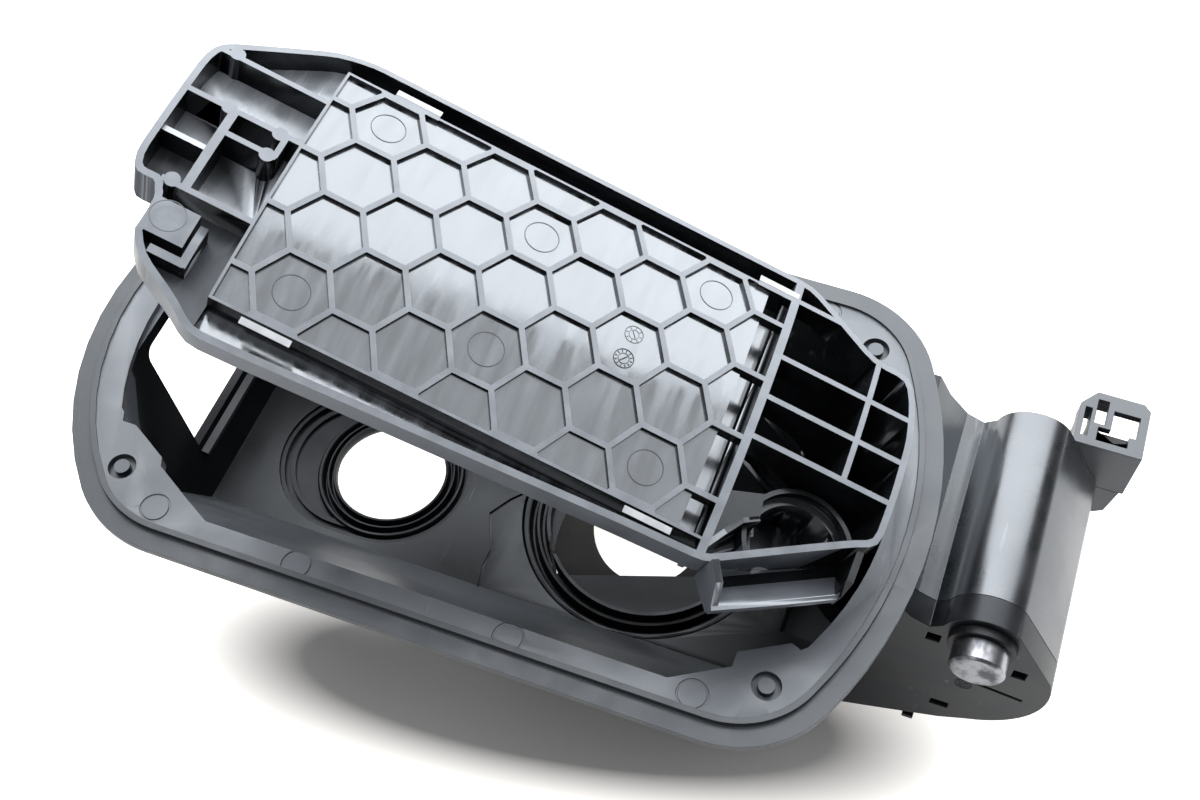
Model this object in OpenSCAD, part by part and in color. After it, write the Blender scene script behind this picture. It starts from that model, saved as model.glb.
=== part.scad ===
// Fuel filler pocket of a car with its hinged door carrier, shown with the door partly open.
// Origin: centre of the flange, on the top face of the rim seal. X runs towards the hinge, Z points out of the car.
// The hinge axis runs along Y. Lengths are millimetres, angles are degrees.

/* [Flange and seal] */
// Half length of the seal frame, from the middle to either end
frame_half_len = 118; // [117:0.5:120]
// Half width of the seal frame
frame_half_wid = 70; // [69:0.5:72]
// Bulge radius of the latch end
latch_end_r = 85; // [80:1:95]
// Bulge radius of the hinge end
hinge_end_r = 120; // [110:5:150]
// Corner radius at the latch end
latch_corner_r = 34; // [30:1:38]
// Corner radius at the hinge end
hinge_corner_r = 30; // [26:1:34]
// Width of the soft lip outside the bead
lip_w = 5.5; // [4:0.5:6]
// Thickness of the seal plate
seal_t = 2; // [1.5:0.1:2]
// Height of the bead above the plate
bead_h = 0.8; // [0.4:0.1:1.2]

/* [Bowl] */
// Width of the seal face between the opening and the frame's ends
end_land = 13.2; // [13:0.1:13.6]
// Width of the seal face between the opening and the frame's long sides
side_land = 12; // [12:0.5:13]
// How far the opening sits towards the hinge
opening_shift = 1.3; // [1.2:0.1:1.5]
// Depth of the bowl floor below the seal face
floor_depth = 57; // [55:0.5:58]
// Half width of the bowl at the floor
floor_half_wid = 27; // [25:0.5:28]
// Wall thickness of the pocket moulding
wall_t = 2.5; // [2.2:0.1:2.6]
// Depth of the standing faces below the seal face
foot_depth = 90; // [88:0.5:92]

/* [Necks] */
// Distance of the additive neck from the middle, towards the latch
additive_x = 40; // [39:0.5:41]
// Radius of the rounded recess that holds the additive neck seal
additive_recess_r = 25; // [24.5:0.1:25.5]
// Extra length of that recess towards the latch
additive_stretch = 10; // [8:0.5:11]
// Radius of the additive neck opening
additive_r = 16.5; // [15:0.5:17]
// Height of the collar under the additive neck seal
additive_collar_h = 6; // [5:0.5:8]
// Distance of the filler neck from the middle, towards the hinge
filler_x = 40; // [39.5:0.5:40.5]
// Distance of the filler neck from the long centre line, towards the far side
filler_y = 10; // [9.5:0.5:10.5]
// Radius of the recess that holds the filler neck seal
filler_recess_r = 38; // [37:0.1:38.2]
// Radius of the opening at the bottom of the filler funnel
filler_r = 17; // [15:0.5:18]
// Radius of the filler funnel at its top
funnel_top_r = 25; // [24:0.5:26]
// Slant length of the filler funnel
funnel_h = 17.5; // [16:0.5:17.5]
// Lean of the filler funnel towards the far side
funnel_lean = 32; // [28:1:33]

/* [Hinge] */
// Distance of the hinge axis beyond the frame's hinge end
hinge_reach = 20; // [19.5:0.5:20.5]
// Depth of the hinge axis below the seal face
hinge_depth = 20; // [19.5:0.5:20.5]
// Radius of the pin shaft
pin_r = 5; // [4.5:0.1:5.2]
// Radius of the pin stub outside
stub_r = 7.3; // [7:0.1:7.8]
// Outer radius of the arm's hub
hub_r = 8; // [7.8:0.1:8.2]
// Running clearance between pin and bush
pin_clearance = 0.05; // [0.02:0.01:0.1]
// Opening angle of the door in the modelled pose
rest_angle = 18.7; // [5:0.1:30]

/* [Door] */
// Circumradius of a honeycomb cell, between rib centres
cell_r = 10; // [9.9:0.05:10.1]
// Thickness of the honeycomb ribs
rib_t = 1.4; // [1.2:0.1:2]
// Depth of the cells
cell_depth = 1.1; // [0.8:0.1:1.6]
// Thickness of the floor under the cells
cell_floor_t = 2; // [1.8:0.1:2.4]
// Depth of the carrier rim
rim_depth = 12; // [11:0.5:13]
// Thickness of the carrier rim
rim_t = 1.7; // [1.4:0.1:2.2]
// Radius of the crown across the door
crown_r = 200; // [180:10:400]
// Thickness of the gooseneck arm
arm_t = 6; // [5:0.5:6.5]

/* [Hidden] */
$fn = 64;
eps = 0.01;
opening_half_len = frame_half_len - end_land;
opening_half_wid = frame_half_wid - side_land;
flange_t = 2.5;
flange_inset = 7;
hinge_x = frame_half_len + hinge_reach;
hinge_z = -hinge_depth;
cover_front = -13.3;
cover_back = -5.5;
drum_far = 53;
drum_left = filler_x + filler_recess_r + 6;
cover_left = opening_half_len + opening_shift + wall_t + 0.6;
drum_wall = 2.4;
ledge_w = 2;
bellows_h = 7.6;
ledge_z = -floor_depth - bellows_h;
scoop_top = -18;
funnel_turn = 19;
seam_w = 1;
boss_r = 11;
collar_fit = 0.05;
washer_t = 2.5;
stub_end = -22.2;
post_y = [frame_half_wid - 19, frame_half_wid - 18];
post_x = [
    15 - end_x(frame_half_len, latch_end_r, post_y[0]),
    end_x(frame_half_len, hinge_end_r, post_y[1]) - 16.148
];
well_r = 3.7;
ejector_marks = [
    [46.3 - frame_half_len, frame_half_wid - 11.1], [-30.1, frame_half_wid - 8.8],
    [27.3, frame_half_wid - 8.6], [frame_half_len - 44, frame_half_wid - 10]
];
mark_depth = 0.3;
post_r = 2.1;

// Points along an arc from angle a0 to a1 in n steps
function arc(c, r, a0, a1, n) = [for (i = [0:n]) let (a = a0 + (a1 - a0) * i / n) c + r * [cos(a), sin(a)]];

// Distance from the middle to the bulged end at width y
function end_x(a, end_r, y) = a - end_r + sqrt(end_r * end_r - y * y);

// Distance from the middle to the centre of a corner arc that meets the bulged end
function corner_x(a, b, end_r, r) = a - end_r + sqrt(pow(end_r - r, 2) - pow(b - r, 2));

// Angle at which the bulged end meets the corner arc
function meet(a, b, end_r, r) = atan2(b - r, corner_x(a, b, end_r, r) - a + end_r);

// Closed outline with straight long sides, rounded corners and bulged ends
function rim_outline(a, b, lr, lc, rr, rc) =
    let (
        right = meet(a, b, rr, rc),
        left = meet(a, b, lr, lc),
        rx = corner_x(a, b, rr, rc),
        lx = corner_x(a, b, lr, lc)
    )
    concat(
        arc([a - rr, 0], rr, -right, right, 14),
        arc([rx, b - rc], rc, right, 90, 12),
        arc([-lx, b - lc], lc, 90, 180 - left, 12),
        arc([lr - a, 0], lr, 180 - left, 180 + left, 14),
        arc([-lx, lc - b], lc, 180 + left, 270, 12),
        arc([rx, rc - b], rc, 270, 360 - right, 12)
    );

// Outline of the seal frame, moved inwards by d
function frame_outline(d) = rim_outline(
    frame_half_len - d, frame_half_wid - d, latch_end_r - d, latch_corner_r - d, hinge_end_r - d, hinge_corner_r - d);

// Outline of the opening, grown outwards by d
function opening_outline(d) = rim_outline(
    opening_half_len + d, opening_half_wid + d, 80 + d, 24 + d, 85 + d, 30 + d);

// Unit normal to the left of the line from p to q
function normal(p, q) = let (v = q - p) [-v[1], v[0]] / norm(v);

// Counterclockwise outline moved inwards by d with sharp corners
function inset(pts, d) = let (n = len(pts)) [
    for (i = [0:n - 1])
        let (
            n0 = normal(pts[(i + n - 1) % n], pts[i]),
            n1 = normal(pts[i], pts[(i + 1) % n])
        )
        pts[i] + (n0 + n1) * d / (1 + n0 * n1)
];

// Half width of the bowl inside at height z
function bowl_half(z) = floor_half_wid + (z + floor_depth) * (opening_half_wid + 0.5 - floor_half_wid) / floor_depth;

// Latch end of the bowl inside at height z
function bowl_left(z) = 17.8 - opening_half_len - (z + floor_depth) * 15.5 / floor_depth;

module ring(outer, inner, z0, z1) {
    difference() {
        translate([0, 0, z0]) linear_extrude(z1 - z0) polygon(outer);
        translate([0, 0, z0 - 1]) linear_extrude(z1 - z0 + 2) inner_area(inner);
    }
}

module inner_area(pts) {
    polygon(pts);
}

// Runs a profile drawn as length and height along the hinge direction
module along_y(y0, y1) {
    translate([0, y1, 0]) rotate([90, 0, 0]) linear_extrude(y1 - y0) children();
}

// Runs a profile drawn as width and height along the flange
module along_x(x0, x1) {
    translate([x0, 0, 0]) rotate([90, 0, 90]) linear_extrude(x1 - x0) children();
}

module rod(x, z, r, y0, y1) {
    translate([x, y1, z]) rotate([90, 0, 0]) cylinder(r = r, h = y1 - y0);
}

module both_sides() {
    children();
    mirror([0, 1, 0]) children();
}

module at_posts() {
    for (i = [0, 1]) both_sides() translate([post_x[i], post_y[i], 0]) children();
}

// Bowl of the pocket: plan outline cut by the sloping long walls and the sloping latch end
module bowl(d, z0, z1) {
    intersection() {
        translate([opening_shift, 0, z0]) linear_extrude(z1 - z0) polygon(opening_outline(d + 0.3));
        along_x(-2 * frame_half_len, 2 * frame_half_len) polygon([
            [-bowl_half(z0) - d, z0], [bowl_half(z0) + d, z0], [bowl_half(z1) + d, z1], [-bowl_half(z1) - d, z1]]);
        along_y(-2 * frame_half_wid, 2 * frame_half_wid) polygon([
            [bowl_left(z0) - d, z0], [hinge_x, z0], [hinge_x, z1], [bowl_left(z1) - d, z1]]);
    }
}

drum_round = concat(
    arc([hinge_x - 8, hinge_z - 22], 30, -63, 18, 18),
    arc([hinge_x, hinge_z], boss_r, 42, 168, 20)
);
drum_base = [[drum_left + 14, -foot_depth], [hinge_x - 23.4, 7 - foot_depth], [hinge_x - 2, 16.5 - foot_depth]];
drum_neck = [[hinge_x - 13.8, hinge_z - 0.6], [hinge_x - 19, hinge_z + 1.5], [hinge_x - 25, hinge_z + 8]];
drum_outline = concat(
    [[drum_left, -foot_depth]],
    drum_base,
    drum_round,
    drum_neck,
    [[hinge_x - 29, -seal_t - flange_t - 0.5], [drum_left, -seal_t - flange_t - 0.5]]
);
cover_outline = concat(
    [[drum_left, -foot_depth]],
    drum_base,
    drum_round,
    drum_neck,
    [[cover_left, -7], [cover_left, -floor_depth - wall_t - 0.5], [drum_left, -floor_depth - wall_t - 0.5]]
);

module latch_window() {
    along_x(3 - frame_half_len, 38 - frame_half_len) polygon(concat(
        [[-19.5, -41], [19.5, -41]],
        arc([11, -9], 4, 0, 90, 6),
        arc([-11, -9], 4, 90, 180, 6)
    ));
}

// Circle drawn out towards the latch by the additive recess's extra length
module stretched_circle(r) {
    polygon(concat(arc([-additive_stretch, 0], r, 90, 270, 24), arc([0, 0], r, -90, 90, 24)));
}

// Bore of a neck collar below the ledge that carries the neck seal
module collar_bore(x, y, r) {
    translate([x, y, -foot_depth - 1]) cylinder(r = r, h = ledge_z + foot_depth + 1 + eps);
}

// Shallow wavy groove in the floor between the two necks
module floor_seam() {
    seam = [[3, 8], [-1.5, 3], [-5.5, -3.5], [-3.2, -9], [-0.5, -15], [-0.8, -20], [0.5, -27.5]];
    last = len(seam) - 1;
    translate([0, 0, -floor_depth - 0.8]) linear_extrude(2) polygon(concat(
        [for (p = seam) p + [seam_w / 2, 0]],
        [for (i = [last:-1:0]) seam[i] - [seam_w / 2, 0]]
    ));
}

module pocket_housing() color([0.10, 0.10, 0.11]) {
    difference() {
        union() {
            translate([0, 0, -seal_t - flange_t]) linear_extrude(flange_t) polygon(frame_outline(flange_inset));
            bowl(wall_t, -floor_depth - wall_t, -seal_t);
            translate([-additive_x, 0, ledge_z - additive_collar_h])
                cylinder(r = additive_recess_r - ledge_w + wall_t, h = additive_collar_h);
            translate([-additive_x, 0, ledge_z - wall_t]) linear_extrude(bellows_h + wall_t)
                stretched_circle(additive_recess_r + wall_t);
            translate([filler_x, filler_y, -foot_depth])
                cylinder(r = filler_recess_r + wall_t, h = foot_depth + scoop_top);
            along_y(cover_back, drum_far) polygon(drum_outline);
            rod(hinge_x, hinge_z, 9.6, drum_far - 1, drum_far + 0.6);
            for (y = [-4, 20, 44])
                along_y(y, y + 1.6) polygon([[drum_left + 1, -foot_depth], [drum_left - 12, -floor_depth], [drum_left + 1, -44]]);
        }
        bowl(0, -floor_depth, 1);
        collar_bore(-additive_x, 0, additive_recess_r - ledge_w);
        translate([-additive_x, 0, ledge_z]) linear_extrude(bellows_h + 1) stretched_circle(additive_recess_r);
        collar_bore(filler_x, filler_y, filler_recess_r - ledge_w);
        translate([filler_x, filler_y, ledge_z]) cylinder(r = filler_recess_r, h = scoop_top - ledge_z + eps);
        floor_seam();
        along_y(cover_front + drum_wall, drum_far - wall_t) polygon(inset(drum_outline, drum_wall));
        rod(hinge_x, hinge_z, pin_r + pin_clearance, 45, drum_far + 2);
        latch_window();
    }
    translate([0, 0, -seal_t - flange_t]) linear_extrude(flange_t) intersection() {
        polygon(frame_outline(flange_inset));
        corner_pads();
    }
    translate([-opening_half_len, 0, 0]) along_y(-20, 20) polygon([[10.2, -42.2], [16.2, -43.6], [16.2, -45.2], [10.8, -45.2]]);
    at_posts() translate([0, 0, -seal_t - 1]) cylinder(r = post_r, h = seal_t + 1.2, $fn = 32);
}

// Pads round the posts, drawn as distances from the frame's end and from its long side
latch_pad = [
    [6, 8], [14, 42], [24, 34], [25, 31.5], [29, 31.5], [40.5, 25], [41.6, 22.5], [53, 16], [62, 11.2], [62, 8]
];
hinge_pad = [
    [52, 8], [52, 11.4], [37.2, 20], [37.2, 24], [25.4, 30.7], [22.8, 29.7], [17, 35], [10.5, 46], [8, 8]
];

module corner_pads() {
    both_sides() polygon([for (p = latch_pad) p - [frame_half_len, frame_half_wid]]);
    both_sides() polygon([for (p = hinge_pad) [frame_half_len - p[0], p[1] - frame_half_wid]]);
}

module rim_seal() color([0.36, 0.37, 0.40]) {
    difference() {
        union() {
            translate([0, 0, -seal_t]) linear_extrude(seal_t) polygon(frame_outline(lip_w));
            translate([0, 0, -seal_t - 1.2]) linear_extrude(2.2) polygon(frame_outline(0));
        }
        translate([0, 0, -seal_t - 2]) linear_extrude(2 + eps) polygon(frame_outline(flange_inset - 0.2));
        translate([0, 0, -seal_t - 2]) linear_extrude(8) difference() {
            translate([opening_shift, 0]) polygon(opening_outline(0));
            corner_pads();
        }
        at_posts() translate([0, 0, -seal_t - 1]) cylinder(r = well_r, h = 8, $fn = 32);
        for (p = ejector_marks) both_sides() translate([p[0], p[1], -mark_depth]) difference() {
            cylinder(r = 4, h = 1, $fn = 48);
            cylinder(r = 3.5, h = 1, $fn = 48);
        }
        for (y = [-12, 2, 17]) translate([frame_half_len - 12.8 - abs(y) / 8, y, -seal_t - 1]) cylinder(r = 1.3, h = 4, $fn = 32);
    }
    ring(frame_outline(lip_w - 0.4), frame_outline(lip_w + 1.2), -seal_t / 2, bead_h);
}

// Bellows ring from radius r to the outer radius: a wavy sleeve that rises to its inner lip
module bellows(r, outer) {
    step = (outer - r) / 4;
    h = bellows_h;
    rotate_extrude($fn = 96) polygon([
        [r, h - 2.6], [r + 0.2 * step, h - 0.4], [r + 0.7 * step, h - 0.2], [r + step, h - 3.4],
        [r + 1.35 * step, h - 3.4], [r + 1.65 * step, h - 0.9], [r + 2 * step, h - 0.9],
        [r + 2.35 * step, h - 4.4], [r + 2.65 * step, h - 4.4], [r + 3 * step, h - 1.2],
        [r + 3.3 * step, h - 0.9], [outer - 0.3 * step, h - 0.9], [outer, h - 1.6], [outer, 0],
        [outer - 1.3 * step, 0], [outer - 1.5 * step, h - 6.2], [r + 2 * step, h - 6.2],
        [r + 1.4 * step, h - 5.2], [r + 0.7 * step, h - 5.2]
    ]);
}

module neck_seal_additive() color([0.16, 0.17, 0.18]) {
    plate_r = additive_recess_r - collar_fit;
    sleeve_r = additive_recess_r - ledge_w - 0.5;
    translate([-additive_x, 0, ledge_z]) {
        bellows(additive_r, sleeve_r);
        difference() {
            union() {
                linear_extrude(bellows_h - 3) stretched_circle(plate_r);
                linear_extrude(bellows_h - 1) difference() {
                    stretched_circle(plate_r);
                    stretched_circle(plate_r - 1.4);
                }
                linear_extrude(bellows_h - 1.6) difference() {
                    stretched_circle(plate_r - 3);
                    stretched_circle(plate_r - 4.6);
                }
            }
            translate([0, 0, -1]) cylinder(r = sleeve_r - 0.4, h = bellows_h + 2);
        }
    }
}

// Cone of the filler funnel, wall w thicker than its inside, leaning towards the far side
module funnel(w, down, up) {
    slope = (funnel_top_r - filler_r) / funnel_h;
    rotate([funnel_lean, 0, funnel_turn]) translate([0, 0, -down])
        cylinder(r1 = funnel_top_r - slope * down + w, r2 = funnel_top_r + slope * up + w, h = down + up, $fn = 96);
}

module neck_seal_filler() color([0.16, 0.17, 0.18]) {
    translate([filler_x, filler_y, ledge_z]) difference() {
        union() {
            bellows(funnel_top_r + 4, filler_recess_r - collar_fit);
            translate([0, 0, bellows_h - 6.2]) cylinder(r = funnel_top_r + 5, h = 2.6, $fn = 96);
            intersection() {
                funnel(1.6, funnel_h, 12);
                translate([0, 0, -40]) cylinder(r = funnel_top_r + 4.5, h = 40 + bellows_h - 4.6, $fn = 96);
            }
        }
        funnel(0, funnel_h + 3, 12);
    }
}

module drum_end_cover() color([0.13, 0.13, 0.14]) {
    difference() {
        along_y(cover_front, cover_back) polygon(cover_outline);
        along_y(cover_front + drum_wall, cover_back + 1) polygon(inset(drum_outline, drum_wall));
        rod(hinge_x, hinge_z, pin_r + pin_clearance, cover_front - 1, -5);
        translate([hinge_x, cover_front - 1, hinge_z]) {
            for (p = [[-12, -6], [12, -12]]) translate([p[0] - 1.8, 0, p[1] - 2]) cube([3.6, 5, 4]);
            translate([2, 0, -25]) rotate([0, 8, 0]) cube([14, 1.8, 1]);
            translate([-6, 0, -46]) cube([5, 5, 3.2]);
        }
    }
}

module hinge_pin() color([0.78, 0.79, 0.81]) {
    rod(hinge_x, hinge_z, stub_r, stub_end + 0.8, cover_front - washer_t);
    translate([hinge_x, stub_end, hinge_z]) rotate([-90, 0, 0]) cylinder(r1 = stub_r - 0.8, r2 = stub_r, h = 0.8);
    rod(hinge_x, hinge_z, pin_r, cover_front - washer_t - 0.5, drum_far + 1.6);
}

module pin_washer() color([0.03, 0.03, 0.03]) {
    difference() {
        rod(hinge_x, hinge_z, 8.9, cover_front - washer_t, cover_front);
        rod(hinge_x, hinge_z, pin_r, cover_front - washer_t - 1, cover_front + 1);
    }
}

module pin_cap() color([0.03, 0.03, 0.03]) {
    difference() {
        union() {
            rod(hinge_x, hinge_z, 7.4, drum_far + 0.6, drum_far + 1.6);
            rod(hinge_x, hinge_z, 6.9, drum_far + 1.6, drum_far + 2.6);
        }
        rod(hinge_x, hinge_z, pin_r, drum_far, drum_far + 1.6);
    }
}

bracket_x0 = hinge_x + 10;
bracket_x1 = hinge_x + 29;
bracket_y1 = drum_far + 18.5;
bracket_top = hinge_z + 3;
bracket_low = hinge_z - 16;

module actuator_bracket() color([0.14, 0.14, 0.15]) {
    difference() {
        translate([0, 0, bracket_low]) linear_extrude(bracket_top - bracket_low) polygon([
            [bracket_x0, drum_far], [bracket_x1, drum_far], [bracket_x1, bracket_y1 - 2], [bracket_x1 - 2, bracket_y1],
            [bracket_x0 + 4, bracket_y1], [bracket_x0, bracket_y1 - 5]
        ]);
        translate([bracket_x0 + 4.6, drum_far + 2, bracket_low - 1])
            cube([bracket_x1 - bracket_x0 - 6.2, bracket_y1 - drum_far - 4, bracket_top - bracket_low - 1.2]);
        translate([bracket_x0 - 1, drum_far + 10, bracket_low - 1])
            cube([bracket_x1 - bracket_x0 + 2, bracket_y1 - drum_far, bracket_top - bracket_low - 5]);
        translate([bracket_x0 + 1.6, drum_far + 3, bracket_low - 1])
            cube([1.8, bracket_y1 - drum_far - 9, bracket_top - bracket_low + 2]);
        translate([bracket_x0 + 4.6, drum_far + 8, bracket_top - 5]) cube([3, 8, 10]);
        translate([bracket_x0 + 9.4, drum_far + 6.2, bracket_top - 5]) cube([7.2, 7.2, 10]);
        translate([bracket_x0 + 6, drum_far + 2.4, bracket_top - 5]) cube([8.5, 4.4, 10]);
    }
}

module ratchet_clip() color([0.04, 0.04, 0.05]) {
    translate([bracket_x0 + 6, drum_far + 2, bracket_top - 6.7]) {
        cube([10.5, 1.6, 4.4]);
        translate([0, 0, 2.8]) cube([10.5, 4.6, 1.6]);
        for (i = [0:3]) translate([1 + i * 2.5, 1.4, 0]) cube([1.1, 2.2, 4.4]);
    }
}

module cable_socket() color([0.11, 0.11, 0.12]) {
    difference() {
        along_y(drum_far, drum_far + 11) polygon([
            [bracket_x0 + 3, bracket_low], [bracket_x1 - 1, bracket_low], [bracket_x1 - 2.5, bracket_low - 11],
            [bracket_x1 - 6, bracket_low - 14], [bracket_x0 + 8, bracket_low - 14], [bracket_x0 + 3, bracket_low - 6]
        ]);
        along_y(drum_far + 3, drum_far + 12) polygon([
            [bracket_x0 + 9, bracket_low + 1], [bracket_x1 - 5, bracket_low + 1], [bracket_x1 - 6.5, bracket_low - 9],
            [bracket_x0 + 9, bracket_low - 9]
        ]);
    }
}

module hook_clip() color([0.03, 0.03, 0.03]) {
    translate([hinge_x - 11.5, cover_front + 3, 7 - foot_depth]) {
        along_y(0, 2.4) polygon([[0, 0], [3.2, 0], [3.2, 6.6], [0, 5.2]]);
        translate([0, -2.2, 0]) cube([3.2, 4.6, 1.8]);
    }
}

// Door, drawn in its own frame: X along the door from the first honeycomb cell, Z out of the door,
// crown line at the top. The hinge lies at axis_in_door.
axis_in_door = [192.1, -30];
comb_left = -15.4;
comb_right = 110.5;
comb_half = 36;
apothem = cell_r * sqrt(3) / 2;
latch_floor = -8.5;
bay_floor = -10.5;
step_x = 102.5;
crown_y = 6;
deep_floor = -36;
hub_gap = 0.7;
cup = [131.5, -24];
cup_r = 14.4;
corner_cut = 3.4;
web_t = 1.45;

// Closed outline with each corner cut back by d, or by less on a short side, and rounded in n steps
function rounded(pts, d, n) = let (m = len(pts)) [
    for (i = [0:m - 1])
        let (
            p = pts[i],
            back = pts[(i + m - 1) % m] - p,
            ahead = pts[(i + 1) % m] - p,
            a = p + back * min(0.45, d / norm(back)),
            b = p + ahead * min(0.45, d / norm(ahead))
        )
        for (k = [0:n]) let (t = k / n) (1 - t) * (1 - t) * a + 2 * t * (1 - t) * p + t * t * b
];

door_corners = [
    [-38, -18.5], [-36.7, -20.2], [-36.7, -28.5], [-37.1, -29.3], [-33.3, -34.7], [-21.6, -41], [-16, -45.3],
    [-4, -45], [89.5, -40.9], [111, -40.3], [114.1, -38.6], [143.2, -21], [148.4, -18.6], [148.8, -4], [148.5, 12],
    [146.6, 23], [143.8, 30.1], [133.7, 30.1], [112.8, 43.4], [-11.3, 43], [-20.1, 40.6], [-44.1, 25.5],
    [-45.8, 20.4], [-45.8, -13], [-43.6, -17.2], [-38.6, -16.6]
];
door_outline = rounded(door_corners, corner_cut, 2);

module door_place() {
    translate([hinge_x, 0, hinge_z]) rotate([0, rest_angle, 0]) translate([-axis_in_door[0], 0, -axis_in_door[1]])
        children();
}

// Long cylinder whose upper side gives the crowned faces, ending at x1
module crown_bar(r, x1) {
    translate([-60, crown_y, -crown_r]) rotate([0, 90, 0]) cylinder(r = r, h = x1 + 60, $fn = 180);
}

module crown(r, z0) {
    intersection() {
        crown_bar(r, 170);
        translate([-60, -50, z0]) cube([230, 100, 60]);
    }
}

module bar(p, q, t, z0, z1) {
    v = q - p;
    translate([p[0], p[1], z0]) rotate([0, 0, atan2(v[1], v[0])]) translate([0, -t / 2, 0]) cube([norm(v), t, z1 - z0]);
}

module snap_bump(x, y) {
    translate([x, y, latch_floor]) cylinder(r = 1.9, h = 30, $fn = 32);
}

module honeycomb_cells() {
    inner = cell_r - rib_t / sqrt(3);
    for (k = [-1:8])
        for (j = [-3:2])
            let (x = k * cell_r * 1.5, y = (j + 0.5) * apothem * 2 - (abs(k) % 2) * apothem)
                translate([x, y, -20]) cylinder(r = inner, h = 40, $fn = 6);
}

module comb_area(d, z0, z1) {
    translate([comb_left + d, -comb_half + d, z0])
        cube([comb_right - comb_left - 2 * d, 2 * comb_half - 2 * d, z1 - z0]);
}

// Ribs of the honeycomb and the floor under them
module honeycomb() {
    difference() {
        comb_area(0, -14, 4);
        difference() {
            intersection() {
                comb_area(rib_t / 2, -20, 10);
                honeycomb_cells();
            }
            crown_bar(crown_r - cell_depth, step_x);
        }
        intersection() {
            comb_area(rib_t, -20, 0);
            crown_bar(crown_r - cell_depth - cell_floor_t, 200);
        }
        translate([step_x, -comb_half + rib_t, -20]) cube([comb_right - rib_t - step_x, 2 * comb_half - 2 * rib_t, 14]);
    }
    translate([step_x - 1.5, -comb_half + 0.5, bay_floor - 1.5]) cube([comb_right - step_x, 2 * comb_half - 1, 2]);
    intersection() {
        translate([step_x - 1.5, -comb_half + 0.5, bay_floor - 1.5]) cube([1.5, 2 * comb_half - 1, 12]);
        crown_bar(crown_r - cell_depth - 0.4, 200);
    }
    translate([comb_right - 3.4, -comb_half + 0.5, bay_floor]) cube([2, 2 * comb_half - 1, 4.5]);
}

module latch_ribs() {
    low = latch_floor - 0.5;
    bar([-44.5, 23.8], [comb_left, 23.8], web_t, low, 4);
    bar([-44.5, 9], [comb_left, 9], web_t, low, 4);
    bar([-44.5, -3], [-33, -3], web_t, low, -1.5);
    bar([-32.2, 9], [-32.2, -15.4], 2.2, low, 4);
    bar([-32.2, 2.3], [-18.4, 2.3], web_t, low, 4);
    bar([-18.9, 9], [-18.9, 2.3], web_t, low, 4);
    bar([-38, -15.4], [comb_left, -15.4], web_t, low, 4);
    snap_bump(-39.5, 24.6);
    snap_bump(-33.8, 9.2);
    snap_bump(-20.6, 8.8);
    snap_bump(-20.6, 2);
    snap_bump(-35.6, -14.8);
    translate([-36.7, -28.6, -6]) cube([11, 8.8, 5.5]);
    bar([-32.2, -31.8], [-23.4, -31.8], 2, low, -2.5);
    bar([-23.8, -32.6], [-23.8, -21.6], 2, low, -2.5);
}

module cell_ribs() {
    low = deep_floor;
    bar([comb_right, 36], [123, 36], web_t, low, 4);
    bar([comb_right, 17], [147.6, 17], web_t, low, 4);
    bar([comb_right, 4.6], [148, 4.6], web_t, low, 4);
    bar([comb_right, -7], [148.2, -7], web_t, low, 4);
    bar([134.8, -7], [134.8, 29.4], web_t, low, 4);
}

// Clip pads beside the honeycomb rails
module clip_pads() {
    for (x = [[-2.7, 9.4], [98.8, 109.9]])
        translate([x[0], comb_half - 1, -4]) cube([x[1] - x[0], 3.4, 8]);
    for (x = [[-6.9, 5.6], [89, 101.2]])
        translate([x[0], -comb_half - 2.4, -4]) cube([x[1] - x[0], 3.4, 8]);
    translate([-5.6, -45, -4]) cube([6, 3.2, 8]);
    translate([88.6, -42, -4]) cube([10, 3, 8]);
}

bush_r = 6.5;

// Centre line of the gooseneck as radius about the hinge axis at an angle
function arm_radius(a) = a < 235 ? 44.5 : 44.5 - 35 * pow((a - 235) / 62, 1.5);
arm_line = [for (a = [176:6:308]) arm_radius(a) * [cos(a), sin(a)]];
arm_count = len(arm_line);
arm_profile = concat(
    [for (i = [1:arm_count - 2]) arm_line[i] - normal(arm_line[i - 1], arm_line[i + 1]) * arm_t / 2],
    [for (i = [arm_count - 2:-1:1]) arm_line[i] + normal(arm_line[i - 1], arm_line[i + 1]) * arm_t / 2]
);
arm_y0 = -8;
arm_y1 = 25;

module gooseneck() {
    ax = axis_in_door[0];
    az = axis_in_door[1];
    difference() {
        union() {
            translate([ax, 0, az]) along_y(arm_y0, arm_y1) polygon(arm_profile);
            rod(ax, az, hub_r, -10.2, drum_far - wall_t - hub_gap);
        }
        rod(ax, az, bush_r, -12, drum_far);
    }
    translate([ax - 47.5, arm_y0, deep_floor - 4]) cube([5, arm_y1 - arm_y0 - 5, 6]);
    for (y = [arm_y0, 7, arm_y1 - 2])
        along_y(y, y + 2) polygon([[104, -12], [comb_right + 1, -11], [147, deep_floor], [147, deep_floor - 9], [130, deep_floor - 4]]);
}

// Section of the deep bay at the hinge end: a convex shell that falls from the rail to the bay's floor
function bay_section(d) = concat(
    [[comb_right - 1 + d, 6], [comb_right - 1 + d, -8 - d]],
    arc([comb_right + 1, -30 - d], 22, 88, 18, 8),
    [[134 + d, deep_floor + 2 * d - 2], [149.4 - d, deep_floor + 2 * d - 2], [149.4 - d, 6]]
);

// Deep bay over the gooseneck, with walls that follow the outline
module deep_bay() {
    difference() {
        intersection() {
            translate([0, 0, deep_floor - 2]) linear_extrude(-deep_floor + 6) polygon(door_outline);
            along_y(-50, 50) polygon(bay_section(-1.2));
        }
        intersection() {
            translate([0, 0, deep_floor - 6]) linear_extrude(-deep_floor + 16) polygon(inset(door_outline, rim_t));
            along_y(-50, 50) polygon(bay_section(1));
        }
    }
}

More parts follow.
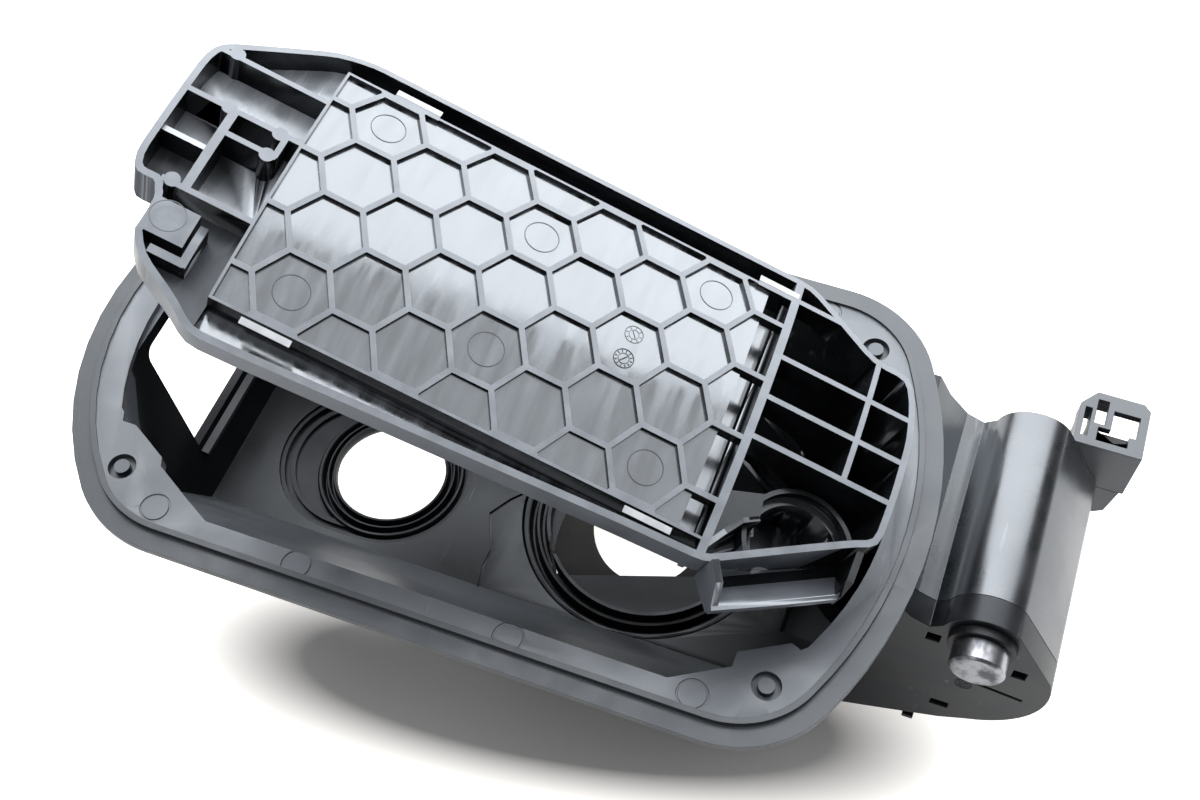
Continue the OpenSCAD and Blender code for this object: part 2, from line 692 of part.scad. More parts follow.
// Upright plate of thickness t from p towards q, with its profile drawn as length and height
module fin(p, q, t) {
    v = q - p;
    translate([p[0], p[1], 0]) rotate([0, 0, atan2(v[1], v[0])]) along_y(-t / 2, t / 2) children();
}

// Round cup, satin plate and curved rib on the near side of the deep bay
module near_bay_details() {
    rib_line = [[107, -41.4], [110, -36.2], [113.3, -30.6], [116.2, -26.1], [120, -23.6]];
    translate([0, 0, -9.6]) linear_extrude(1.6) polygon([
        [comb_right - 0.5, -19.4], [119.8, -15.6], [120.6, -22.6], [116.8, -25], [113.6, -30], [comb_right - 0.5, -35]
    ]);
    for (i = [0:3]) bar(rib_line[i], rib_line[i + 1], 1.3, -13, -5.5);
    translate([0, 0, -15]) linear_extrude(2) polygon([
        [111.5, -35.5], [113, -29], [116.5, -24.5], [121, -22], [121.8, -24.5], [118.6, -29.2]]);
    translate([cup[0], cup[1], 0]) difference() {
        translate([0, 0, -26]) cylinder(r = cup_r, h = 18);
        translate([0, 0, -11]) cylinder(r = cup_r - 1.2, h = 10);
        translate([0, 0, -24.5]) cylinder(r = cup_r - 3.2, h = 20);
    }
    bar([138.2, -19], [141.4, -12.4], 1, deep_floor, -13);
}

// Scoop outside the near wall, between two fins
module side_wing() {
    lip = [[117.6, -48.4], [143.4, -32.3]];
    fin([112.8, -39.6], lip[0], 1.8) polygon([[0, -15], [9.6, -12], [9.6, -8.2], [5.6, -3], [0, -3]]);
    fin([145, -21], [144.5, -31.6], 1.8) polygon([[0, -15], [10.6, -13], [10.6, -8.2], [8.4, -3], [0, -3]]);
    intersection() {
        translate([0, 0, -17]) linear_extrude(10) polygon([[112.6, -39], lip[0] - [0.6, 1], lip[1] + [1, -0.6], [145.4, -21]]);
        translate([lip[0][0], lip[0][1], 0]) rotate([0, 0, atan2(lip[1][1] - lip[0][1], lip[1][0] - lip[0][0])])
            along_x(-6, 40) polygon([
                [-0.8, -8], [0.5, -8], [3, -10.4], [6, -12.6], [9, -13.8], [16, -14.4], [16, -16], [6, -15], [-0.8, -10.4]]);
    }
}

module door_carrier() color([0.15, 0.16, 0.17]) {
    door_place() {
        intersection() {
            union() {
                difference() {
                    translate([0, 0, -rim_depth]) linear_extrude(rim_depth + 4) polygon(door_outline);
                    translate([0, 0, -rim_depth - 1]) linear_extrude(rim_depth + 8) polygon(inset(door_outline, rim_t));
                }
                intersection() {
                    translate([0, 0, -rim_depth]) linear_extrude(rim_depth + 4) polygon(door_outline);
                    union() {
                        latch_ribs();
                        clip_pads();
                    }
                }
                deep_bay();
                intersection() {
                    translate([0, 0, deep_floor]) linear_extrude(-deep_floor + 4) polygon(door_outline);
                    along_y(-50, 50) polygon(bay_section(0));
                    cell_ribs();
                }
                intersection() {
                    translate([0, 0, deep_floor]) linear_extrude(-deep_floor + 4) polygon(door_outline);
                    near_bay_details();
                }
                honeycomb();
                difference() {
                    translate([0, 0, -rim_depth]) linear_extrude(rim_depth + bay_floor) polygon(inset(door_outline, 1));
                    comb_area(1, -20, 10);
                    translate([comb_right, -60, -20]) cube([60, 120, 40]);
                }
                difference() {
                    translate([0, 0, -rim_depth]) linear_extrude(rim_depth + latch_floor) polygon(inset(door_outline, 1));
                    translate([comb_left, -60, -20]) cube([200, 120, 40]);
                }
            }
            crown(crown_r, deep_floor - 2);
        }
        side_wing();
        gooseneck();
    }
}

module bush(y0, y1, flange_y) {
    translate([axis_in_door[0], 0, axis_in_door[1]]) difference() {
        union() {
            rod(0, 0, bush_r, y0, y1);
            rod(0, 0, hub_r - 0.2, flange_y, flange_y + 0.4);
        }
        rod(0, 0, pin_r + pin_clearance, y0 - 2, y1 + 2);
    }
}

module hub_bush_near() color([0.75, 0.7, 0.55]) door_place() bush(-10.2, 4, -10.6);

module hub_bush_far() color([0.75, 0.7, 0.55]) door_place() bush(36, drum_far - wall_t - hub_gap, drum_far - wall_t - hub_gap);

pocket_housing();
rim_seal();
neck_seal_additive();
neck_seal_filler();
drum_end_cover();
hinge_pin();
pin_washer();
pin_cap();
actuator_bracket();
ratchet_clip();
cable_socket();
hook_clip();
door_carrier();
hub_bush_near();
hub_bush_far();
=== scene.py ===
# Dresses the fuel filler pocket and its door carrier: moulded black plastics, rubber seals and a steel pin in a studio
import math

import bmesh
import bpy
from mathutils import Matrix, Vector


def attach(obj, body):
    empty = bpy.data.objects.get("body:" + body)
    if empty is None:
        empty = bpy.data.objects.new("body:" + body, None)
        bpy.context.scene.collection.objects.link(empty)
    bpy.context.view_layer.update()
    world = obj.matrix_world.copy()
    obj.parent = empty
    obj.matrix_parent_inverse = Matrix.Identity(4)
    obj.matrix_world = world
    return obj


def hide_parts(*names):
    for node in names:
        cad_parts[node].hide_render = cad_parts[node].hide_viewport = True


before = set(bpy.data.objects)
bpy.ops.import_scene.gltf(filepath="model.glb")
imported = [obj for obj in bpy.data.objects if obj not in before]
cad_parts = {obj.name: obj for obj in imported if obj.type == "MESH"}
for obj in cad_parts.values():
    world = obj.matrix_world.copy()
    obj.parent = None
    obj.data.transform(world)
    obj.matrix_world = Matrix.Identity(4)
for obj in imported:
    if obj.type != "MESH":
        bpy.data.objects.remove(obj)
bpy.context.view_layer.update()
scene = bpy.context.scene
print("frame loaded")

mm = 0.001
hingePlace = Vector((138, 0, -20)) * mm
hingeInDoor = Vector((192.1, 0, -30)) * mm
restAngle = math.radians(18.7)
doorToPart = Matrix.Translation(hingePlace) @ Matrix.Rotation(restAngle, 4, "Y") @ Matrix.Translation(-hingeInDoor)
partToDoor = doorToPart.inverted()
crownCentre = (6 * mm, -200 * mm)  # y and z of the crown's axis in the door's own frame
crownRadius = 200 * mm
floorRadius = crownRadius - 1.1 * mm


# Shader helpers

def newMaterial(name):
    material = bpy.data.materials.new(name)
    material.use_nodes = True
    tree = material.node_tree
    tree.nodes.clear()
    output = tree.nodes.new("ShaderNodeOutputMaterial")
    shader = tree.nodes.new("ShaderNodeBsdfPrincipled")
    tree.links.new(shader.outputs[0], output.inputs[0])
    return material, tree, shader


def objectPattern(tree, kind, scale, stretch=(1, 1, 1), turn=(0, 0, 0), detail=4.0):
    coords = tree.nodes.new("ShaderNodeTexCoord")
    mapping = tree.nodes.new("ShaderNodeMapping")
    mapping.inputs["Scale"].default_value = stretch
    mapping.inputs["Rotation"].default_value = turn
    tree.links.new(coords.outputs["Object"], mapping.inputs["Vector"])
    texture = tree.nodes.new(kind)
    texture.inputs["Scale"].default_value = scale
    if "Detail" in texture.inputs:
        texture.inputs["Detail"].default_value = detail
    tree.links.new(mapping.outputs[0], texture.inputs["Vector"])
    return texture.outputs[0]


def spread(tree, value, low, high, fromLow=0.35, fromHigh=0.65):
    node = tree.nodes.new("ShaderNodeMapRange")
    node.inputs["From Min"].default_value = fromLow
    node.inputs["From Max"].default_value = fromHigh
    node.inputs["To Min"].default_value = low
    node.inputs["To Max"].default_value = high
    tree.links.new(value, node.inputs["Value"])
    return node.outputs[0]


def blendColours(tree, factor, first, second):
    node = tree.nodes.new("ShaderNodeMix")
    node.data_type = "RGBA"
    node.inputs["A"].default_value = (*first, 1)
    node.inputs["B"].default_value = (*second, 1)
    tree.links.new(factor, node.inputs["Factor"])
    return node.outputs["Result"]


def addBump(tree, shader, heights):
    normal = None
    for value, distance, strength in heights:
        bump = tree.nodes.new("ShaderNodeBump")
        bump.inputs["Strength"].default_value = strength
        bump.inputs["Distance"].default_value = distance
        tree.links.new(value, bump.inputs["Height"])
        if normal:
            tree.links.new(normal, bump.inputs["Normal"])
        normal = bump.outputs[0]
    tree.links.new(normal, shader.inputs["Normal"])


def mouldedPlastic(name, s):
    # two tones in soft clouds, fine grain in the gloss, a little swell in the surface and a few pale scuffs
    material, tree, shader = newMaterial(name)
    stretch, turn = s.get("stretch", (1, 1, 1)), s.get("turn", (0, 0, 0))
    clouds = objectPattern(tree, "ShaderNodeTexNoise", s["cloudScale"], stretch, turn)
    grain = objectPattern(tree, "ShaderNodeTexNoise", s["grainScale"], detail=2.0)
    swell = objectPattern(tree, "ShaderNodeTexNoise", 45, detail=1.0)
    tones = blendColours(tree, spread(tree, clouds, 0, 1), s["dark"], s["light"])
    if s.get("scuffs"):
        scratches = objectPattern(tree, "ShaderNodeTexNoise", 420, (1, 0.12, 0.5), (0.4, 0.2, 0.9), detail=6.0)
        patches = objectPattern(tree, "ShaderNodeTexNoise", 30, detail=2.0)
        mask = tree.nodes.new("ShaderNodeMath")
        mask.operation = "MULTIPLY"
        tree.links.new(spread(tree, scratches, 0, s["scuffs"], 0.62, 0.72), mask.inputs[0])
        tree.links.new(spread(tree, patches, 0, 1, 0.52, 0.66), mask.inputs[1])
        mix = tree.nodes.new("ShaderNodeMix")
        mix.data_type = "RGBA"
        mix.inputs["B"].default_value = (0.35, 0.35, 0.36, 1)
        tree.links.new(tones, mix.inputs["A"])
        tree.links.new(mask.outputs[0], mix.inputs["Factor"])
        tones = mix.outputs["Result"]
    tree.links.new(tones, shader.inputs["Base Color"])
    tree.links.new(spread(tree, clouds, *s["rough"]), shader.inputs["Roughness"])
    shader.inputs["IOR"].default_value = s.get("ior", 1.5)
    shader.inputs["Specular IOR Level"].default_value = s["specular"]
    shader.inputs["Specular Tint"].default_value = (*s.get("tint", (0.87, 0.93, 1)), 1)
    addBump(tree, shader, [(swell, 0.0006, s.get("swell", 0.1)), (grain, 0.00003, s.get("grain", 0.5))])
    return material


plastics = {
    # rib tops: a lighter copy of the carrier's black plastic, painted sheen standing in for the satin highlight on the
    # tops
    "ribTopSheen": dict(
        dark=(0.16, 0.174, 0.197), light=(0.23, 0.249, 0.28), rough=(0.38, 0.52),
        specular=0.7, ior=1.6, cloudScale=160, grainScale=1800, grain=0.3),
    # rim sides and the wing's scoop: a lighter copy of the black plastic, painted light on faces turned toward the
    # lamps
    "rimSideLit": dict(
        dark=(0.1, 0.11, 0.128), light=(0.125, 0.137, 0.158), rough=(0.3, 0.42),
        specular=0.8, ior=1.9, cloudScale=90, grainScale=1800, grain=0.3),
    # clip pad tops: a pale copy of the black plastic, a painted highlight for the glossy reflection on the ledges
    "padTopHighlight": dict(
        dark=(0.4, 0.415, 0.44), light=(0.55, 0.565, 0.59), rough=(0.3, 0.42),
        specular=0.8, ior=1.7, cloudScale=200, grainScale=1800, grain=0.3),
    "cellFloor": dict(
        dark=(0.005, 0.0056, 0.0067), light=(0.06, 0.066, 0.077), rough=(0.1, 0.24),
        specular=0.8, ior=2.0, cloudScale=70, grainScale=2500,
        stretch=(5, 0.7, 1), turn=(0, -restAngle, 0), grain=0.12, swell=0.3, scuffs=0.2),
    # latch bay floors: a pale copy of the carrier's black plastic, painted light on these up-facing floors beyond the
    # near corner
    "bayFloorLit": dict(
        dark=(0.25, 0.27, 0.3), light=(0.42, 0.45, 0.5), rough=(0.2, 0.34),
        specular=0.8, ior=1.8, cloudScale=60, grainScale=2500,
        stretch=(3, 0.8, 1), turn=(0, -restAngle, 0), grain=0.2),
    "bayDim": dict(
        dark=(0.02, 0.022, 0.026), light=(0.06, 0.066, 0.077), rough=(0.36, 0.5),
        specular=0.5, ior=1.5, cloudScale=70, grainScale=2500,
        stretch=(4, 0.7, 1), turn=(0, -restAngle, 0), grain=0.3, scuffs=0.3),
    "markLine": dict(
        dark=(0.02, 0.022, 0.026), light=(0.05, 0.055, 0.064), rough=(0.34, 0.46),
        specular=0.6, ior=1.6, cloudScale=200, grainScale=2500, grain=0.2),
    "doorWall": dict(
        dark=(0.005, 0.0055, 0.0065), light=(0.011, 0.0122, 0.0145), rough=(0.16, 0.3),
        specular=0.5, cloudScale=90, grainScale=2500, grain=0.2),
    "pocketPlastic": dict(
        dark=(0.0025, 0.0028, 0.0033), light=(0.006, 0.0067, 0.008), rough=(0.26, 0.4),
        specular=0.4, ior=1.5, cloudScale=35, grainScale=2200, grain=0.25, scuffs=0.3),
    # pocket's near wall: a lighter copy of the pocket's black plastic, painted light on the wall that faces the back
    # softbox
    "nearWallLit": dict(
        dark=(0.055, 0.061, 0.071), light=(0.075, 0.083, 0.096), rough=(0.3, 0.42),
        specular=0.7, ior=1.6, cloudScale=35, grainScale=2200, grain=0.3),
    "drumPlastic": dict(
        dark=(0.0035, 0.0039, 0.0047), light=(0.008, 0.009, 0.0108), rough=(0.22, 0.34),
        specular=0.8, ior=1.9, cloudScale=50, grainScale=2200, grain=0.25, scuffs=0.5),
    # flange top and pads: a lighter copy of the pocket's black plastic, painted light on the up-facing faces
    "padPlasticLit": dict(
        dark=(0.06, 0.067, 0.079), light=(0.095, 0.106, 0.124), rough=(0.36, 0.5),
        specular=0.7, ior=1.6, cloudScale=120, grainScale=2000),
    "coverPlastic": dict(
        dark=(0.006, 0.0067, 0.008), light=(0.016, 0.0178, 0.021), rough=(0.3, 0.42),
        specular=0.45, ior=1.5, cloudScale=60, grainScale=2000, scuffs=0.4),
    "bracketPlastic": dict(
        dark=(0.018, 0.02, 0.0235), light=(0.04, 0.0445, 0.052), rough=(0.32, 0.45),
        specular=0.8, ior=1.6, cloudScale=90, grainScale=2000),
    "washerPlastic": dict(
        dark=(0.004, 0.004, 0.0045), light=(0.01, 0.01, 0.011), rough=(0.35, 0.5),
        specular=0.4, cloudScale=200, grainScale=2600),
    "bushPlastic": dict(
        dark=(0.40, 0.36, 0.26), light=(0.5, 0.46, 0.34), rough=(0.4, 0.55),
        specular=0.5, cloudScale=200, grainScale=2600, tint=(1, 1, 1)),
    "sealRubber": dict(
        dark=(0.034, 0.0385, 0.0465), light=(0.062, 0.0695, 0.083), rough=(0.34, 0.52),
        specular=0.8, ior=1.75, cloudScale=70, grainScale=1500, grain=0.8, swell=0.3, scuffs=0.4),
    "lipRubber": dict(
        dark=(0.02, 0.0222, 0.0262), light=(0.04, 0.0445, 0.052), rough=(0.34, 0.48),
        specular=0.7, ior=1.6, cloudScale=110, grainScale=1500, grain=0.6),
    "neckRubber": dict(
        dark=(0.0035, 0.0039, 0.0047), light=(0.008, 0.009, 0.0108), rough=(0.3, 0.46),
        specular=0.35, cloudScale=60, grainScale=1800),
}
finish = {name: mouldedPlastic(name, s) for name, s in plastics.items()}


def turnedSteel(name, s):
    # bright turned steel with fine rings about the pin's axis and dark smears
    material, tree, shader = newMaterial(name)
    rings = objectPattern(tree, "ShaderNodeTexNoise", s["ringScale"], (0.04, 1, 0.04))
    smear = objectPattern(tree, "ShaderNodeTexNoise", s["smearScale"], (1, 0.5, 1))
    tones = blendColours(tree, spread(tree, smear, 0, 1, 0.42, 0.62), s["bright"], s["dull"])
    tree.links.new(tones, shader.inputs["Base Color"])
    tree.links.new(spread(tree, smear, *s["rough"]), shader.inputs["Roughness"])
    shader.inputs["Metallic"].default_value = 1
    addBump(tree, shader, [(rings, 0.00002, 0.6)])
    return material


finish["pinSteel"] = turnedSteel("pinSteel", dict(
    bright=(0.4, 0.41, 0.44), dull=(0.12, 0.125, 0.138), rough=(0.26, 0.5), ringScale=900, smearScale=220))
print("materials made")


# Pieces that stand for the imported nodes: merged copies with eased edges

sharpAngle = math.radians(32)


def easedCopy(node, name, body, s, chooser=None):
    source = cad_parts[node]
    mesh = source.data.copy()
    mesh.materials.clear()
    for key in s["finishes"]:
        mesh.materials.append(finish[key])
    bm = bmesh.new()
    bm.from_mesh(mesh)
    bmesh.ops.remove_doubles(bm, verts=bm.verts, dist=2e-6)
    bmesh.ops.dissolve_limit(bm, angle_limit=math.radians(0.3), use_dissolve_boundaries=False, verts=bm.verts, edges=bm.edges)
    for face in bm.faces:
        face.material_index = chooser(face) if chooser else 0
        face.smooth = True
    bm.to_mesh(mesh)
    bm.free()
    piece = bpy.data.objects.new(name, mesh)
    scene.collection.objects.link(piece)
    mesh.set_sharp_from_angle(angle=sharpAngle)
    if s.get("crown"):
        setCrownNormals(mesh)
    if s.get("edge"):
        bevel = piece.modifiers.new("edge", "BEVEL")
        bevel.width = s["edge"]
        bevel.segments = 2
        bevel.limit_method = "ANGLE"
        bevel.angle_limit = sharpAngle
        bevel.use_clamp_overlap = True
        bevel.harden_normals = True
    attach(piece, body)
    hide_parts(node)


def crownDistance(point):
    spot = partToDoor @ point
    return math.hypot(spot.y - crownCentre[0], spot.z - crownCentre[1])


def setCrownNormals(mesh):
    # true normals of the crown on rib tops and cell floors, so that reflections run on from cell to cell
    slack = 0.1 * mm
    normals = [Vector((0, 0, 0))] * len(mesh.loops)
    for polygon in mesh.polygons:
        if polygon.material_index > 1:
            continue
        for loop in polygon.loop_indices:
            point = mesh.vertices[mesh.loops[loop].vertex_index].co
            radius = crownDistance(point)
            if min(abs(radius - crownRadius), abs(radius - floorRadius)) < slack:
                spot = partToDoor @ point
                away = Vector((0, spot.y - crownCentre[0], spot.z - crownCentre[1]))
                normals[loop] = (doorToPart.to_3x3() @ away).normalized()
    mesh.normals_split_custom_set(normals)


doorLimits = dict(
    up=0.8, steep=0.3, topSlack=0.35 * mm, floorDrop=0.8 * mm,
    floorEnd=111 * mm, latchEnd=-15 * mm, latchNear=-6 * mm,
    sideY=37 * mm, farLeft=-35 * mm, farRight=140 * mm, rimFoot=-14 * mm,
    wingY=-31 * mm, wingLeft=111.5 * mm, wingRight=147 * mm, wingTop=-5 * mm)


def doorZone(face):
    # 0 rib tops, 1 cell floors, 2 inner walls, 3 outer sides, 4 latch bay floors, 5 near corner of the latch end; rib
    # tops, outer sides and latch bay floors take lighter copies of the one black plastic as painted sheen and painted
    # light
    s = doorLimits
    spot = partToDoor @ face.calc_center_median()
    facing = partToDoor.to_3x3() @ face.normal
    radius = sum(crownDistance(vert.co) for vert in face.verts) / len(face.verts)
    if facing.z > s["up"] and abs(radius - crownRadius) < s["topSlack"]:
        return 0
    low = facing.z > s["up"] and radius < crownRadius - s["floorDrop"]
    if low and spot.x < s["latchEnd"]:
        return 5 if spot.y < s["latchNear"] else 4
    if low and spot.x < s["floorEnd"]:
        return 1
    outside = (abs(spot.y) > s["sideY"] and facing.y * spot.y > 0
               or spot.x < s["farLeft"] and facing.x < 0
               or spot.x > s["farRight"] and facing.x > 0)
    wing = spot.y < s["wingY"] and s["wingLeft"] < spot.x < s["wingRight"] and spot.z < s["wingTop"]
    # outer sides and the wing take the lighter rim-side copy of the plastic: painted light
    if wing or outside and abs(facing.z) < s["steep"] and spot.z > s["rimFoot"]:
        return 3
    return 2


housingLimits = dict(
    up=0.9, flangeZ=-3 * mm, wallY=-20 * mm, wallFacing=0.3, wallFoot=-56 * mm, drumX=109.5 * mm, drumTop=-4 * mm)


def housingZone(face):
    # 0 pocket, 1 flange top and pads, 2 near wall, 3 drum; flange top, pads and near wall take lighter copies of the
    # pocket's black plastic as painted light
    s = housingLimits
    spot = face.calc_center_median()
    if face.normal.z > s["up"] and spot.z > s["flangeZ"]:
        return 1
    # the near wall turned toward the back softbox takes the lighter near-wall copy: painted light
    if spot.y < s["wallY"] and face.normal.y > s["wallFacing"] and spot.z > s["wallFoot"]:
        return 2
    return 3 if spot.x > s["drumX"] and spot.z < s["drumTop"] else 0


def sealZone(face):
    # 0 the flat face, 1 bead and lip
    return 0 if face.normal.z > 0.9 and abs(face.calc_center_median().z) < 0.4 * mm else 1


easedCopy("door_carrier", "doorCarrier", "door",
          dict(finishes=["ribTopSheen", "cellFloor", "doorWall", "rimSideLit", "bayFloorLit", "bayDim"], edge=0.00018, crown=True), doorZone)
easedCopy("pocket_housing", "pocketHousing", "pocket",
          dict(finishes=["pocketPlastic", "padPlasticLit", "nearWallLit", "drumPlastic"], edge=0.0003), housingZone)
easedCopy("rim_seal", "rimSeal", "pocket",
          dict(finishes=["sealRubber", "lipRubber"], edge=0.0003), sealZone)
easedCopy("drum_end_cover", "drumEndCover", "pocket", dict(finishes=["coverPlastic"], edge=0.0003))
for node, name, slot, key in (
    ("neck_seal_additive", "additiveNeckSeal", "neck_rubber", "neckRubber"),
    ("neck_seal_filler", "fillerNeckSeal", "neck_rubber", "neckRubber"),
    ("hinge_pin", "hingePin", "pin_steel", "pinSteel"),
    ("pin_washer", "pinWasher", "washer_plastic", "washerPlastic"),
    ("pin_cap", "pinCap", "washer_plastic", "washerPlastic"),
    ("actuator_bracket", "actuatorBracket", "bracket_plastic", "bracketPlastic"),
    ("ratchet_clip", "ratchetClip", "washer_plastic", "washerPlastic"),
    ("cable_socket", "cableSocket", "bracket_plastic", "bracketPlastic"),
    ("hook_clip", "hookClip", "washer_plastic", "washerPlastic"),
):
    easedCopy(node, name, "pocket", dict(finishes=[key], edge=0.0002))
for node, name in (("hub_bush_near", "hubBushNear"), ("hub_bush_far", "hubBushFar")):
    easedCopy(node, name, "door", dict(finishes=["bushPlastic"]))
print("nodes dressed")


# Small moulded marks, laid on the faces that carry them

def addPiece(bm, name, body, key):
    bmesh.ops.recalc_face_normals(bm, faces=bm.faces)
    mesh = bpy.data.meshes.new(name)
    for face in bm.faces:
        face.smooth = True
    bm.to_mesh(mesh)
    bm.free()
    mesh.materials.append(finish[key])
    mesh.set_sharp_from_angle(angle=math.radians(35))
    piece = bpy.data.objects.new(name, mesh)
    scene.collection.objects.link(piece)
    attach(piece, body)


def addRing(bm, radius, width, height, place, steps=40):
    # square profile spun round the local Z axis, sunk a little below the face that carries it
    inner, outer = radius - width / 2, radius + width / 2
    corners = ((inner, -height), (outer, -height), (outer, height), (inner, height))
    profile = [bm.verts.new(place @ Vector((x, 0, z))) for x, z in corners]
    edges = [bm.edges.new((profile[i], profile[(i + 1) % 4])) for i in range(4)]
    axis = place.to_3x3() @ Vector((0, 0, 1))
    bmesh.ops.spin(bm, geom=profile + edges, cent=place.translation, axis=axis, angle=math.tau, steps=steps, use_merge=True)


def addTick(bm, size, place):
    made = bmesh.ops.create_cube(bm, size=1)["verts"]
    bmesh.ops.scale(bm, verts=made, vec=size)
    bmesh.ops.transform(bm, matrix=place, verts=made)


def addDial(bm, s, place):
    addRing(bm, s["radius"], s["line"], s["height"], place, 32)
    addRing(bm, s["radius"] * 0.55, s["line"] * 0.7, s["height"], place, 24)
    for i in range(s["ticks"]):
        turn = Matrix.Rotation(math.tau * i / s["ticks"], 4, "Z")
        out = Matrix.Translation((s["radius"] * 0.78, 0, 0))
        addTick(bm, (s["radius"] * 0.24, s["line"], s["height"] * 2), place @ turn @ out)
    addTick(bm, (s["radius"] * 0.9, s["line"] * 1.3, s["height"] * 2), place @ Matrix.Rotation(s["pointer"], 4, "Z"))


def onCrown(x, y, radius):
    # place on the crowned face at x and y in millimetres of the door's own frame
    slope = math.asin((y * mm - crownCentre[0]) / radius)
    height = crownCentre[1] + radius * math.cos(slope)
    return doorToPart @ Matrix.Translation((x * mm, y * mm, height)) @ Matrix.Rotation(-slope, 4, "X")


def addEjectorRings():
    s = dict(cells=((0, 26), (45, 17.3), (90, 26), (0, -26), (45, -17.3), (90, -26)), radius=4.3 * mm,
             width=0.22 * mm, height=0.06 * mm, padRadius=4.1 * mm, pad=(-31.6 * mm, -24.2 * mm, -0.5 * mm))
    bm = bmesh.new()
    for x, y in s["cells"]:
        addRing(bm, s["radius"], s["width"], s["height"], onCrown(x, y, floorRadius))
    addRing(bm, s["padRadius"], s["width"], s["height"], doorToPart @ Matrix.Translation(s["pad"]))
    addPiece(bm, "ejectorRings", "door", "markLine")


def addDoorDials():
    big = dict(radius=2.5 * mm, line=0.22 * mm, height=0.1 * mm, ticks=12, pointer=0.9)
    small = dict(radius=2.3 * mm, line=0.16 * mm, height=0.07 * mm, ticks=8, pointer=2.2)
    bm = bmesh.new()
    addDial(bm, big, onCrown(75, -3.4, floorRadius))
    addDial(bm, small, onCrown(75, 3.8, floorRadius))
    addPiece(bm, "doorDials", "door", "doorWall")


def addCoverDial():
    face = Matrix.Translation((138.2 * mm, -13.3 * mm, -47.5 * mm)) @ Matrix.Rotation(math.radians(90), 4, "X")
    bm = bmesh.new()
    addDial(bm, dict(radius=2.4 * mm, line=0.24 * mm, height=0.1 * mm, ticks=10, pointer=0.5), face)
    addPiece(bm, "coverDial", "pocket", "washerPlastic")


def addClipPadFaces():
    # thin plates on the clip pads in the pale pad-top finish: a painted highlight standing in for the ledges' glossy
    # reflection
    s = dict(thick=0.12 * mm, pads=(
        (-2.7, 9.4, 36.6, 38.3), (98.8, 109.9, 36.6, 38.3), (-6.9, 5.6, -38.3, -36.6), (89, 101.2, -38.3, -36.6)))
    bm = bmesh.new()
    for x0, x1, y0, y1 in s["pads"]:
        addTick(bm, ((x1 - x0) * mm, (y1 - y0) * mm, s["thick"]), onCrown((x0 + x1) / 2, (y0 + y1) / 2, crownRadius))
    bmesh.ops.bevel(bm, geom=bm.edges, offset=0.03 * mm, affect="EDGES", segments=1, profile=0.5, material=-1)
    addPiece(bm, "clipPadFaces", "door", "padTopHighlight")


addEjectorRings()
addDoorDials()
addCoverDial()
addClipPadFaces()
print("marks laid")


# Studio

def addFloor():
    # white floor whose glow, for the camera and in reflections, is painted light that whites out the floor's shadows
    # except in a band along the near side, where it fades to leave the contact shadow
    s = dict(size=4.0, height=-90 * mm, tone=0.74, glow=1.0, mirrored=0.4, shadowGlow=0.02,
             middle=(0.03, -0.038, -90 * mm), turn=math.radians(10), reach=(0.135, 0.034, 1))
    bm = bmesh.new()
    bmesh.ops.create_grid(bm, x_segments=1, y_segments=1, size=s["size"] / 2)
    bmesh.ops.translate(bm, verts=bm.verts, vec=(0, 0, s["height"]))
    mesh = bpy.data.meshes.new("floor")
    bm.to_mesh(mesh)
    bm.free()
    floor = bpy.data.objects.new("floor", mesh)
    scene.collection.objects.link(floor)
    material, tree, shader = newMaterial("studioFloor")
    shader.inputs["Base Color"].default_value = (s["tone"], s["tone"], s["tone"], 1)
    shader.inputs["Roughness"].default_value = 0.9
    shader.inputs["Specular IOR Level"].default_value = 0.1
    coords = tree.nodes.new("ShaderNodeTexCoord")
    mapping = tree.nodes.new("ShaderNodeMapping")
    mapping.vector_type = "TEXTURE"
    mapping.inputs["Location"].default_value = s["middle"]
    mapping.inputs["Rotation"].default_value = (0, 0, s["turn"])
    mapping.inputs["Scale"].default_value = s["reach"]
    under = tree.nodes.new("ShaderNodeTexGradient")
    under.gradient_type = "SPHERICAL"
    tree.links.new(coords.outputs["Object"], mapping.inputs["Vector"])
    tree.links.new(mapping.outputs[0], under.inputs["Vector"])
    path = tree.nodes.new("ShaderNodeLightPath")
    seen = tree.nodes.new("ShaderNodeMath")
    seen.operation = "MULTIPLY_ADD"
    seen.inputs[1].default_value = s["mirrored"]
    glow = tree.nodes.new("ShaderNodeMath")
    glow.operation = "MULTIPLY"
    tree.links.new(path.outputs["Is Glossy Ray"], seen.inputs[0])
    tree.links.new(path.outputs["Is Camera Ray"], seen.inputs[2])
    tree.links.new(spread(tree, under.outputs["Fac"], s["glow"], s["shadowGlow"], 0.08, 0.4), glow.inputs[1])
    tree.links.new(seen.outputs[0], glow.inputs[0])
    # warm glow colour: painted warm shade at the edge of the kept shadow
    shader.inputs["Emission Color"].default_value = (1, 0.975, 0.94, 1)
    tree.links.new(glow.outputs[0], shader.inputs["Emission Strength"])
    mesh.materials.append(material)


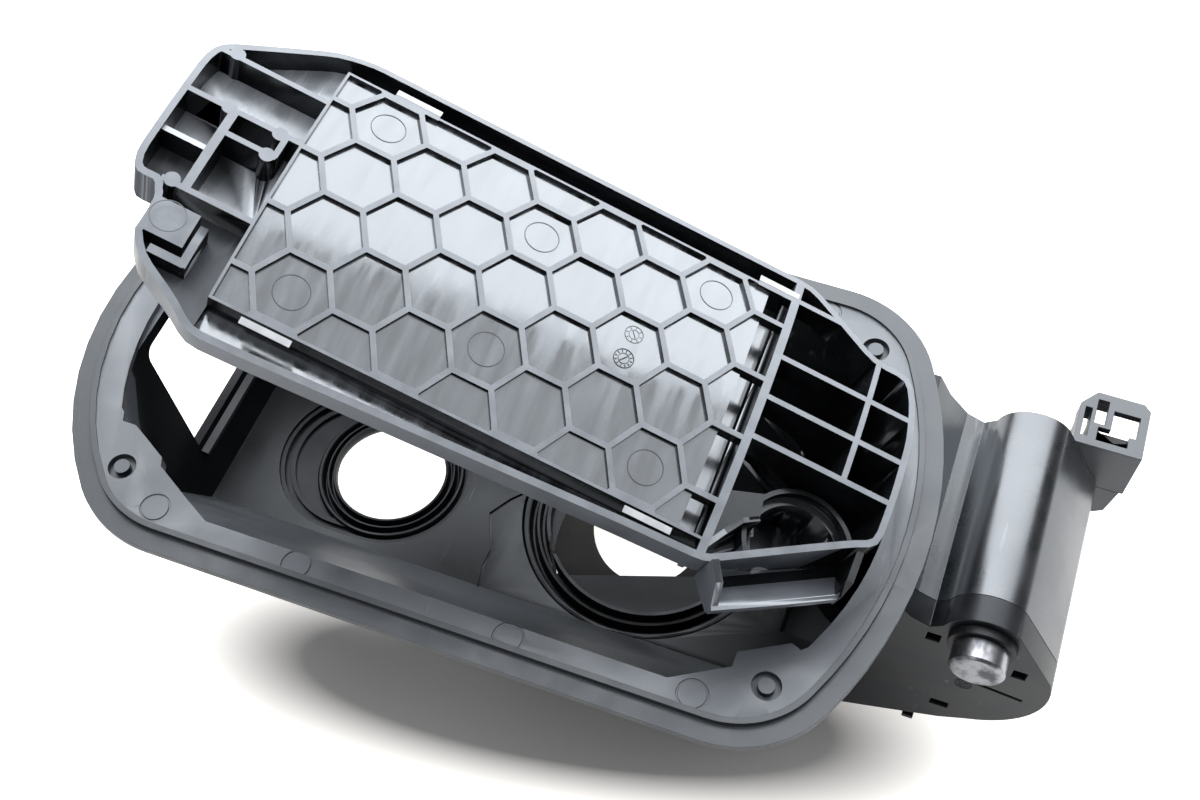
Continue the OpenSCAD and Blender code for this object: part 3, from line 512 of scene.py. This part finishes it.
def addSoftbox(name, s):
    lamp = bpy.data.lights.new(name, "AREA")
    lamp.shape = "RECTANGLE"
    lamp.size = s["width"]
    lamp.size_y = s["height"]
    lamp.energy = s["power"]
    box = bpy.data.objects.new(name, lamp)
    scene.collection.objects.link(box)
    across = Vector(s["across"]).normalized()
    down = Vector(s["down"]).normalized()
    facing = across.cross(down)
    centre = Vector(s["edge"]) + down * s["height"] / 2
    if facing.dot(-centre) < 0:
        facing = -facing
    rows = (across, facing.cross(-across) * -1, -facing)
    box.matrix_world = Matrix.Translation(centre) @ Matrix(rows).transposed().to_4x4()


addFloor()
addSoftbox("backSoftbox", dict(
    edge=(0.29, 0.356, 0.80), across=(0.894, 0.447, 0), down=(-0.316, 0.632, -0.707), width=1.5, height=0.9, power=19))
addSoftbox("frontFill", dict(
    edge=(-0.35, -0.75, 0.75), across=(0.94, -0.34, 0), down=(-0.1, -0.35, -0.9), width=0.6, height=0.5, power=1.2))
addSoftbox("topPanel", dict(
    edge=(0.29, 0.34, 0.81), across=(0.894, 0.447, 0), down=(-0.12, -0.9, 0.3), width=1.5, height=0.9, power=5.2))


def addWorld():
    # plain level for all but the camera, which sees white
    s = dict(level=0.08, seen=0.92)
    world = bpy.data.worlds.new("studio")
    scene.world = world
    world.use_nodes = True
    tree = world.node_tree
    background = tree.nodes["Background"]
    background.inputs["Color"].default_value = (1, 1, 1, 1)
    path = tree.nodes.new("ShaderNodeLightPath")
    strength = tree.nodes.new("ShaderNodeMath")
    strength.operation = "MULTIPLY_ADD"
    strength.inputs[1].default_value = s["seen"]
    strength.inputs[2].default_value = s["level"]
    tree.links.new(path.outputs["Is Camera Ray"], strength.inputs[0])
    tree.links.new(strength.outputs[0], background.inputs["Strength"])


def addCamera():
    s = dict(place=(0.1029, -0.1926, 0.3345), right=(0.9385, 0.345, -0.0098), up=(-0.2841, 0.7882, 0.5459),
             look=(-0.1961, 0.5096, -0.8378), lens=44.625, sensor=36, near=0.01)
    camera = bpy.data.objects.new("camera", bpy.data.cameras.new("camera"))
    scene.collection.objects.link(camera)
    right, up, look = (Vector(s[key]) for key in ("right", "up", "look"))
    camera.matrix_world = Matrix.Translation(s["place"]) @ Matrix((right, up, -look)).transposed().to_4x4()
    camera.data.lens = s["lens"]
    camera.data.sensor_width = s["sensor"]
    camera.data.clip_start = s["near"]
    scene.camera = camera


addWorld()
addCamera()
scene.view_settings.view_transform = "Standard"
print("studio set")
